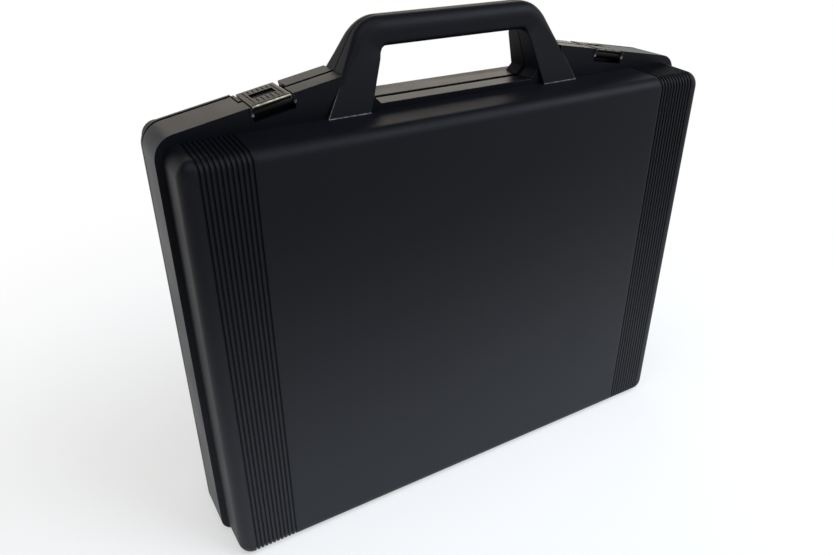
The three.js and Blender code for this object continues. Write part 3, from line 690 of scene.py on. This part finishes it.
def sill_rows(front):
    """The sill between the handle's legs: a level strip whose ends rise in a 6 mm chamfer, with a
    wall below it down to the body. The lid's is the front's, mirrored."""
    end, bend, flat, chamfer = 72.2, 70.0, 64.0, 6.0
    x = np.array([-end, -bend, -flat, flat, bend, end])
    z = SILL_Z + np.array([end - flat, chamfer, 0.0, 0.0, chamfer, end - flat])
    profile = [
        (0, -RIM_FACE), (0, -SILL_SEAM), (SEAM_DEPTH, -SILL_SEAM), (SEAM_DEPTH, -HALF_GAP),
        (WALL, -HALF_GAP), (WALL, WALL - RIM_FACE), (None, WALL - RIM_FACE), (None, -RIM_FACE)]
    if not front:
        profile = [(drop, -y) for drop, y in (profile[1], profile[0], *profile[:1:-1])]
    rows = [np.c_[x, np.full(6, y), np.full(6, SKIRT_Z) if drop is None else z - drop]
            for drop, y in profile]
    return np.stack(rows, 1)


# ---- handle ----


def handle_line(heights, half_foot, foot_z, splay, top, radius):
    """One edge of the handle seen from the front: a straight leg that leans in by splay, then a
    circle of the given radius to the level grip, which runs on to the middle."""
    def half(z):
        return half_foot - splay * (z - foot_z)

    lean_angle = math.atan(splay)
    reach = radius * math.tan((math.pi / 2 - lean_angle) / 2)
    turn = lean_angle + (math.pi / 2 - lean_angle) * np.linspace(0, 1, 15)
    leg = np.c_[half(heights), heights]
    bend = np.c_[half(top) - reach + radius * np.cos(turn), top - radius + radius * np.sin(turn)]
    return np.r_[leg, bend, [[30.0, top], [0.0, top]]]


def handle_rows():
    """The front half of the handle. At each station a section spans from the outer to the inner
    edge: its flanks run forward from the parting plane, round over an edge that grows from the
    feet to the grip, and meet the front face, and a second skin inside makes it hollow."""
    foot = [323.4, 325.2, 325.6, 327.0, 331.0]
    heights = np.array(foot + [337.0, 343.0, 346.0, 350.0, 354.0, 358.0])
    outer = handle_line(heights, 104.5, BODY_TOP, splay=0.56, top=HANDLE_TOP, radius=24.0)
    inner = handle_line(heights, 72.0, SILL_Z, splay=0.33, top=OPENING_TOP, radius=6.0)
    across = outer - inner
    across /= np.linalg.norm(across, axis=1)[:, None]
    grip_depth, grip_z, flare = 12.0, 369.3, 0.1875
    height = (outer[:, 1] + inner[:, 1]) / 2
    depth = grip_depth + flare * np.maximum(grip_z - height, 0)

    def flank(edge, way, inset, start, top, full):
        """One flank's rows. Its edge radius grows from 1 mm at start to full at top."""
        radius = 1.0 + (full - 1.0) * np.clip((edge[:, 1] - start) / (top - start), 0, 1)
        radius = np.maximum(radius - inset, 0.75)
        back = [(inset, -HALF_GAP)]
        if inset == 0:
            back = [(1.2, -HALF_GAP), (1.2, -HANDLE_SEAM), (0.0, -HANDLE_SEAM)]
        bend = [(inset + radius * (1 - math.cos(t)), inset + radius * (1 - math.sin(t)) - depth)
                for t in np.linspace(0, math.pi / 2, 8)]
        side = (bend[0][0], bend[0][1] + 0.4)
        face = (bend[-1][0] + 0.3, bend[-1][1])
        return np.stack([row_at(edge, way, m, y) for m, y in back + [side] + bend + [face]], 1)

    def skin(inset):
        return np.concatenate([
            flank(outer, across, inset, start=340.0, top=HANDLE_TOP - 4, full=9.2),
            flank(inner, -across, inset, start=OPENING_TOP - 2.6, top=OPENING_TOP,
                  full=4.0)[:, ::-1]], 1)

    right = np.concatenate([skin(0.0), skin(WALL)[:, ::-1]], 1)
    left = right[:-1] * np.array([-1.0, 1.0, 1.0])
    # Rubbed along the feet, and up the outer edge of the legs
    wear_and_highlight = np.zeros(right.shape[:2])
    wear_and_highlight[:2, 9:17] = 0.45
    wear_and_highlight[:, 7:9] = 0.4 * np.interp(outer[:, 1], [338, 345], [1, 0])[:, None]
    return np.r_[left, right[::-1]], np.r_[wear_and_highlight[:-1], wear_and_highlight[::-1]]


# ---- latches and hinges ----


def latch_plate(shape):
    """A latch's plate: its top stands up by the rib height except in seven thin lines between the
    ribs, its edges ease over, its front lip is undercut for a finger, and a slot goes through it
    round the catch. Also gives each point's share of a painted highlight: strongest along the
    nose, faint along the sides."""
    pitch, line_half, slot_half, slot_front, slot_rear = 3.3, [0.28, 0.42], 8.2, -3.0, 5.8
    nose, tail = -RIM_FACE - 0.3, RIM_FACE - 0.3
    ticks = np.arange(-3, 4) * pitch
    u = (ticks[:, None] + np.array([-line_half[1], -line_half[0], *line_half])).ravel()
    sides = np.array([0, 0.08, 0.3, 0.7, 1.2])
    u = np.r_[u, -slot_half, slot_half, LATCH_HALF - sides, sides - LATCH_HALF]
    u = np.unique(u.round(4))
    lip = nose + np.array([0, 0.03, 0.12, 0.3, 0.5, 0.8, 1.5, 2.6])
    ends = [-12.8, -12.5, -4.6, -4.3, 7.3, 7.6, 12.5, 12.8]
    y = np.unique(np.r_[lip, ends, slot_front, slot_rear, tail - sides])
    gu, gy = np.meshgrid(u, y, indexing="ij")
    off = np.abs(gu[:, :, None] - ticks).min(-1)
    line = np.interp(off, [0.0, *line_half], [1.0, 1.0, 0.0])
    beside_slot = np.interp(gy, ends, [0, 1, 1, 0, 0, 1, 1, 0])
    whole = np.interp(gy, ends[:2] + ends[-2:], [0, 1, 1, 0])
    fade = np.where(np.abs(gu) > slot_half + 0.3, whole, beside_slot)
    raised = shape.rib_height / MM
    beside = np.minimum(LATCH_HALF - np.abs(gu), tail - gy)
    eased = round_share(gy - nose, 0.8) + round_share(beside, sides[-1]) * 0.5 / sides[-1]
    top = raised * (1 - line * fade) * np.clip(gy - nose, 0, 1) - eased
    bottom = np.interp(gy - nose, [0.0, 0.3, 2.6], [-1.5, -1.7, -3.0])
    middle_u, middle_y = (u[:-1] + u[1:]) / 2, (y[:-1] + y[1:]) / 2
    in_slot = (middle_y > slot_front) & (middle_y < slot_rear)
    slot = (np.abs(middle_u) < slot_half)[:, None] & in_slot[None, :]
    # Painted highlight: pale along the nose and faintly along the sides
    wear_and_highlight = np.interp(gy - nose, [0.0, 0.03, 0.12, 0.5, 0.8], [0.0, 0.5, 1.0, 1.0, 0.0])
    wear_and_highlight = np.maximum(wear_and_highlight, 0.25 * np.interp(beside, [0.0, 0.3, sides[-1]], [1.0, 1.0, 0.0]))
    points, faces = plate_arrays(gu, gy, top, bottom, ~slot)
    return points, faces, np.r_[wear_and_highlight.ravel(), 0 * wear_and_highlight.ravel()]


def barrel(half, radius, bore, edge):
    """A short tube along X with softened ends: a mirrored profile, turned once round."""
    soft, steps = edge * 0.3, 40
    left = np.array([(-half, bore), (-half, radius - edge),
                     (soft - half, radius - soft), (edge - half, radius)])
    x, r = np.r_[left, left[::-1] * (-1, 1)].T
    angle = np.arange(steps) * TAU / steps
    return np.stack([np.broadcast_to(x, (steps, len(x))),
                     np.outer(np.cos(angle), r), np.outer(np.sin(angle), r)], -1)


def ear(side, end):
    """A latch ear: a rounded tab that stands proud of the rim beside the latch, with a painted
    highlight low down.
    """
    root, nose, middle, reach, half, half_width = -15.0, -16.6, -3.6, 1.0, 2.9, 0.9
    turn = np.linspace(-math.pi / 2, math.pi / 2, 9)
    y = np.r_[root, nose - reach * np.cos(turn), root]
    w = np.r_[middle - half, middle + half * np.sin(turn), middle + half]
    rows = [np.c_[np.full(len(y), end * EAR_MIDDLE + u), y, w] for u in (-half_width, half_width)]
    # Painted highlight low on the ear's rounded front
    wear_and_highlight = np.interp(w, [-6.2, -5.7, -5.0, -4.4], [0.0, 1.0, 1.0, 0.0])
    return to_shoulder(rows, side), np.stack([wear_and_highlight, wear_and_highlight])


def catch(side):
    """The catch in a latch's slot: an upright bar on the lid with a softly crowned top."""
    u = np.linspace(-7.6, 7.6, 5)
    y = np.array([-0.2, 0.2, 0.8, 1.9, 3.0, 3.6, 4.0])
    gu, gy = np.meshgrid(u, y, indexing="ij")
    middle, half = (y[0] + y[-1]) / 2, (y[-1] - y[0]) / 2
    top = -0.5 - 0.5 * np.abs((gy - middle) / half) ** 3
    cells = (len(u) - 1, len(y) - 1)
    points, faces = plate_arrays(gu, gy, top, np.full_like(top, -5.0), np.ones(cells, bool))
    return to_shoulder(points, side), faces


def knuckles(name, owner):
    """Every other knuckle of both hinges, the ones that belong to one shell, as one piece."""
    first = -HINGE_LENGTH / 2 + np.arange(owner, KNUCKLES, 2) * KNUCKLE_STEP + KNUCKLE_HALF
    middles = np.r_[first - HINGE_X, first + HINGE_X]
    one = barrel(KNUCKLE_HALF, radius=3.8, bore=1.8, edge=0.5)
    count = one.shape[0] * one.shape[1]
    index = np.arange(count).reshape(one.shape[:2])
    quads = grid_quads(index, close_rows=True, close_columns=True)
    points = [one.reshape(-1, 3) + np.array([x, RIM_FACE, HINGE_Z]) for x in middles]
    faces = [quads + i * count for i in range(len(middles))]
    return solid(name, np.concatenate(points), faces)


# ---- foam ----


def foam_edges(x, low):
    """The foam's lower and upper edge at x: the body's outline, one gap further in."""
    past = np.maximum(np.abs(x) - FOAM_HALF + FOAM_CORNER, 0)
    drop = FOAM_CORNER - np.sqrt(np.maximum(FOAM_CORNER ** 2 - past ** 2, 0))
    top = BODY_TOP - FOAM_GAP - FOAM_LEAN * BODY_TOP_DRAFT
    return low + drop, top - drop


def foam_columns(extra):
    """Columns of points across a foam layer: close together over its rounded ends."""
    straight = FOAM_HALF - FOAM_CORNER
    ends = straight + FOAM_CORNER * np.sin(np.linspace(0, math.pi / 2, 9))
    right = np.r_[np.linspace(0, straight, 17)[1:-1], ends]
    return np.unique(np.r_[-right, 0.0, right, extra].round(4))


def pocket_shape(number):
    """A knife pocket's height, its tip and its way along X. Each is narrower and shorter than the
    one below it, and every other one is turned round."""
    return 54.0 - 6.5 * number, POCKET_END - 26.0 * number, -1.0 if number % 2 else 1.0


def pocket_lines(number, x):
    """The lower and upper edge of one knife pocket at x, both at its spine beyond its ends: a
    level handle part, then the blade's heel, and a belly that rises to the tip."""
    margin, between, grip_height = 20.4, 18.5, 26.0
    height, tip, way = pocket_shape(number)
    below = sum(pocket_shape(i)[0] + between for i in range(number))
    spine = WALL + margin + height + below
    along = way * x
    into = np.clip((along - tip + height) / height, 0, 1)
    blade = spine - height * np.sqrt(np.clip(1 - into ** 2, 0, 1))
    low = np.where(along < POCKET_HEEL, spine - grip_height, blade)
    low = np.where((along < -POCKET_END) | (along > tip), spine, low)
    return low, np.full_like(x, spine)


def knife_tray():
    """The tray's foam: its columns run up through every pocket's lower and upper edge, cells
    inside a pocket are left out, and both faces ease over at the outside."""
    front, rear, rounding, sliver = -36.3, -4.3, 2.2, 0.02
    extra = []
    for number in range(POCKETS):
        height, tip, way = pocket_shape(number)
        belly = tip - height + height * np.sin(np.linspace(0, math.pi / 2, 12))
        marks = [-POCKET_END, sliver - POCKET_END, POCKET_HEEL, POCKET_HEEL + sliver]
        extra.append(way * np.r_[marks, belly])
    x = foam_columns(np.concatenate(extra))
    low, high = foam_edges(x, FOAM_GAP)
    ease = [0.0, 0.3, 1.0, rounding]
    every = np.ones(len(x) - 1, bool)
    lines, keep = [low + e for e in ease], [every] * len(ease)
    for number in range(POCKETS):
        lines += pocket_lines(number, x)
        under, spine = pocket_lines(number, (x[:-1] + x[1:]) / 2)
        keep += [spine - under < 0.01, every]
    lines += [high - e for e in ease[::-1]]
    keep += [every] * (len(ease) - 1)
    z = np.clip(np.stack(lines), low, high)
    gx = np.broadcast_to(x, z.shape)
    edge = np.minimum(np.minimum(z - low, high - z), FOAM_HALF - np.abs(gx))
    drop = round_share(edge, rounding)
    return plate_arrays(gx, z, rear - drop, front + drop, np.stack(keep))


def foam_block(near, far, near_round, far_round, low, wave=0.0, period=1.0, fine=0):
    """A foam layer between two depths, its faces eased over at the outside. A wave makes the near
    face an egg-crate: the product of two cosines, fading out to the edge."""
    span, height, middle_z, fade = FOAM_HALF - 3, 320, 165, 9.0
    x = foam_columns(np.linspace(-span, span, fine) if fine else np.zeros(1))
    bottom, top = foam_edges(x, low)
    ease = np.array([0.0, 0.3, 1.0, 2.2, 4.0]) / height
    share = np.linspace(0, 1, max(fine * 3 // 4, 6))
    share = np.unique(np.r_[share, ease, 1 - ease].round(6))
    z = bottom + (top - bottom) * share[:, None]
    gx = np.broadcast_to(x, z.shape)
    edge = np.minimum(np.minimum(z - bottom, top - z), FOAM_HALF - np.abs(gx))
    inward = math.copysign(1, far - near)
    hills = np.cos(TAU * gx / period) * np.cos(TAU * (z - middle_z) / period)
    dip = wave * (0.5 - 0.5 * hills * np.clip(edge / fade, 0, 1))
    near_y = near + inward * (round_share(edge, near_round) + dip)
    far_y = far - inward * round_share(edge, far_round)
    return plate_arrays(gx, z, near_y, far_y, np.ones((len(share) - 1, len(x) - 1), bool))


# ---- operators ----


class KNIFECASE_OT_shells(bpy.types.Operator):
    """Build both shells' bodies, rims, shoulders and sills"""

    bl_idname = "knifecase.shells"
    bl_label = "Shells"

    def execute(self, context):
        shape, finish = chosen(context)
        plastic = shell_plastic(finish)
        points, faces = body_points(shape, WALL - RIM_FACE + 0.1)
        fit(solid("front_body", points, faces), "base", "shell", plastic, "front_shell")
        points, faces = body_points(shape, -RIM_FACE - 1.0)
        fit(solid("lid_body", points * HALF_TURN, faces), "lid", "shell", plastic, "lid_shell")
        for name, rows, body in (
                ("front_rim", front_rim_rows(), "base"), ("lid_rim", lid_rim_rows(), "lid"),
                ("front_sill", sill_rows(True), "base"), ("lid_sill", sill_rows(False), "lid")):
            piece = round_edges(loft(name, rows), shape.edge_round)
            fit(piece, body, "shell", rim_plastic(finish))
        return {"FINISHED"}


class KNIFECASE_OT_handle(bpy.types.Operator):
    """Build the two moulded halves of the carrying handle"""

    bl_idname = "knifecase.handle"
    bl_label = "Handle"

    def execute(self, context):
        plastic = shell_plastic(chosen(context)[1])
        rows, wear_and_highlight = handle_rows()
        fit(loft("front_handle", rows, wear_and_highlight=wear_and_highlight), "base", "shell", plastic)
        fit(loft("lid_handle", rows * HALF_TURN, wear_and_highlight=wear_and_highlight), "lid", "shell", plastic)
        return {"FINISHED"}


class KNIFECASE_OT_latches(bpy.types.Operator):
    """Build the latches, the ears beside them and the catches in their slots"""

    bl_idname = "knifecase.latches"
    bl_label = "Latches"

    def execute(self, context):
        shape, finish = chosen(context)
        plastic, shell = latch_plastic(finish), shell_plastic(finish)
        for side, word in ((-1, "left"), (1, "right")):
            points, faces, wear_and_highlight = latch_plate(shape)
            # The left latch gets the stronger painted highlight: its shoulder slopes towards the
            # light
            wear_and_highlight *= 1.0 if side < 0 else 0.3
            body = f"latch_{word}"
            plate = solid(f"latch_plate_{word}", to_shoulder(points, side), faces, wear_and_highlight)
            fit(round_edges(plate, *SMALL_EDGE), body, "latch", plastic, body)
            tube = barrel(LATCH_HALF, radius=2.9, bore=1.6, edge=0.4)
            tube = to_shoulder(tube + np.array([0.0, PIVOT_Y, PIVOT_W]), side)
            tube = loft(f"latch_barrel_{word}", tube, closed=True)
            fit(tube, body, "latch", plastic)
            for end, place in ((-1, "a"), (1, "b")):
                rows, rubbed_and_highlit = ear(side, end)
                tab = loft(f"latch_ear_{word}_{place}", rows, wear_and_highlight=rubbed_and_highlit)
                fit(round_edges(tab, shape.edge_round, 3, 50), "base", "shell", shell)
            bar = solid(f"catch_{word}", *catch(side))
            fit(round_edges(bar, *SMALL_EDGE), "lid", "shell", shell)
        return {"FINISHED"}


class KNIFECASE_OT_hinges(bpy.types.Operator):
    """Build the hinge knuckles along the bottom and finish the steel pins"""

    bl_idname = "knifecase.hinges"
    bl_label = "Hinges and pins"

    def execute(self, context):
        finish = chosen(context)[1]
        plastic = shell_plastic(finish)
        for owner, name, body in ((0, "front_knuckles", "base"), (1, "lid_knuckles", "lid")):
            fit(knuckles(name, owner), body, "shell", plastic)
        steel = shared("Drawn_steel_wire", drawn_steel, finish.steel)
        for name in ("latch_pin_left", "latch_pin_right", "hinge_pin_left", "hinge_pin_right"):
            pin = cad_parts[name]
            pin.data.materials.clear()
            pin.data.materials.append(steel)
        return {"FINISHED"}


class KNIFECASE_OT_foam(bpy.types.Operator):
    """Build the foam: a back layer, a tray cut out for the knives and an egg-crate lid pad"""

    bl_idname = "knifecase.foam"
    bl_label = "Foam"

    def execute(self, context):
        shape, finish = chosen(context)
        foam = shared("Open_cell_foam_cut", open_cell_foam, finish.foam)
        back = foam_block(near=-36.6, far=-48.6, near_round=1.2, far_round=5.6, low=FOAM_GAP)
        pad = foam_block(near=7.6, far=48.6, near_round=2.2, far_round=5.6, low=8.6, fine=170,
                         wave=shape.foam_wave / MM, period=shape.foam_period / MM)
        for name, (points, faces), body, cad in (
                ("foam_back", back, "base", "foam_back_layer"),
                ("foam_tray", knife_tray(), "base", "foam_knife_tray"),
                ("foam_lid_pad", pad, "lid", "lid_foam")):
            # The fields' heights run along Y
            piece = solid(name, points[:, [0, 2, 1]], faces)
            fit(piece, body, "foam", foam, cad)
        return {"FINISHED"}


class KNIFECASE_OT_stage(bpy.types.Operator):
    """Set the floor, the soft studio light and the camera"""

    bl_idname = "knifecase.stage"
    bl_label = "Stage"

    def execute(self, context):
        size = 9.0  # half the floor's width, in metres
        corners = [(x * size, y * size, 0) for x, y in ((-1, -1), (1, -1), (1, 1), (-1, 1))]
        mesh = bpy.data.meshes.new("floor")
        mesh.from_pydata(corners, [], [(0, 1, 2, 3)])
        mesh.materials.append(white_paper(chosen(context)[1]))
        floor = new_object("floor", mesh)
        studio_world(context.scene)
        studio_lights()
        photo_camera(context.scene)
        context.scene.view_settings.view_transform = "Standard"
        return {"FINISHED"}


def white_paper(finish):
    """Matt white paper, lit as it lies round the case, where it takes the shadow. Further out it
    is even white for the camera, for gloss and for glass."""
    material, tree, place = new_material("Matt_white_paper")
    shade = node(tree, "Mix", {"data_type": "RGBA"},
                 {6: tone(finish.floor, 0.99), 7: tone(finish.floor, 1.01)},
                 {0: noise(tree, place, 400.0)}).outputs[2]
    paper = node(tree, "BsdfDiffuse", links={"Color": shade})
    even = node(tree, "Emission", inputs={"Color": WHITE, "Strength": 1.0})
    rays = node(tree, "LightPath").outputs
    seen = maths(tree, "MAXIMUM", rays["Is Camera Ray"], rays["Is Glossy Ray"])
    seen = maths(tree, "MAXIMUM", seen, rays["Is Transmission Ray"])
    far = node(tree, "VectorMath", {"operation": "LENGTH"}, links={0: place})
    reach = remap(tree, far.outputs["Value"], 0.25, 0.75, 0.45, 1.0, "SMOOTHSTEP")
    surface(tree, "MixShader", links={
        0: maths(tree, "MULTIPLY", seen, reach), 1: paper.outputs[0], 2: even.outputs[0]})
    return material


def studio_world(scene):
    """A plain studio: white walls up to the height of the lamps, and a dim ceiling above them."""
    world = bpy.data.worlds.new("Studio")
    scene.world = world
    world.use_nodes = True
    tree = world.node_tree
    tree.nodes.clear()
    way = node(tree, "TexCoord").outputs["Generated"]
    height = node(tree, "SeparateXYZ", links={"Vector": way}).outputs["Z"]
    strength = remap(tree, height, 0.3, 0.5, 1.0, 0.1, "SMOOTHSTEP")
    room = node(tree, "Background", inputs={"Color": WHITE}, links={"Strength": strength})
    node(tree, "OutputWorld", links={"Surface": room.outputs["Background"]})


def studio_lights():
    """Soft lamps: a long low window behind, a broad light overhead and a cool one to the right.
    Each has its name, place, width, height, power and colour."""
    lamps = (
        ("window", (0.95, 2.6, 0.9), 3.0, 1.1, 19.0, (1.0, 0.88, 0.7)),
        ("overhead", (-0.5, -0.5, 2.5), 2.2, 2.2, 36.0, (0.98, 0.99, 1.0)),
        ("skylight", (1.25, -1.15, 1.75), 1.8, 1.3, 45.0, (0.8, 0.89, 1.0)),
    )
    for name, place, width, height, power, colour in lamps:
        lamp = bpy.data.lights.new(name, "AREA")
        lamp.shape = "RECTANGLE"
        lamp.size, lamp.size_y = width, height
        lamp.energy = power
        lamp.color = colour
        light = new_object(name, lamp)
        light.location = place
        aim = Vector((0.0, 0.0, 0.2)) - Vector(place)
        light.rotation_euler = aim.to_track_quat("-Z", "Y").to_euler()


def photo_camera(scene):
    """The camera as solved from the photograph's edges, in the frame's axes."""
    camera = bpy.data.cameras.new("camera")
    camera.sensor_width = 36.0
    camera.lens = 31.35
    camera.clip_start = 0.01
    camera.clip_end = 50.0
    ahead = Vector((0.43915, 0.75043, -0.49396)).normalized()
    up = Vector((0.24931, 0.42642, 0.86949))
    right = ahead.cross(up).normalized()
    up = right.cross(ahead)
    turn = Matrix((right, up, -ahead)).transposed().to_4x4()
    item = new_object("camera", camera)
    item.matrix_world = Matrix.Translation(Vector((-289.6, -448.7, 469.8)) * MM) @ turn
    scene.camera = item


class KNIFECASE_PT_panel(bpy.types.Panel):
    """Sizes, colours and building steps of the knife case"""

    bl_idname = "KNIFECASE_PT_panel"
    bl_label = "Hard knife case"
    bl_space_type = "VIEW_3D"
    bl_region_type = "UI"
    bl_category = "Knife case"

    def draw(self, context):
        for group in chosen(context):
            box = self.layout.box()
            for name in group.__annotations__:
                box.prop(group, name)
        for step in STEPS:
            self.layout.operator(step.bl_idname)


STEPS = (KNIFECASE_OT_shells, KNIFECASE_OT_handle, KNIFECASE_OT_latches,
         KNIFECASE_OT_hinges, KNIFECASE_OT_foam, KNIFECASE_OT_stage)
CLASSES = (KnifeCaseShape, KnifeCaseFinish, *STEPS, KNIFECASE_PT_panel)


def register():
    """Adds the settings, the steps and the panel."""
    for item in CLASSES:
        bpy.utils.register_class(item)
    bpy.types.Scene.knife_case_shape = PointerProperty(type=KnifeCaseShape)
    bpy.types.Scene.knife_case_finish = PointerProperty(type=KnifeCaseFinish)


def unregister():
    """Takes them away again."""
    del bpy.types.Scene.knife_case_finish
    del bpy.types.Scene.knife_case_shape
    for item in reversed(CLASSES):
        bpy.utils.unregister_class(item)


def main():
    """Builds the case step by step."""
    register()
    bpy.ops.knifecase.shells()
    bpy.ops.knifecase.handle()
    bpy.ops.knifecase.latches()
    bpy.ops.knifecase.hinges()
    bpy.ops.knifecase.foam()
    bpy.ops.knifecase.stage()


if __name__ == "__main__":
    main()
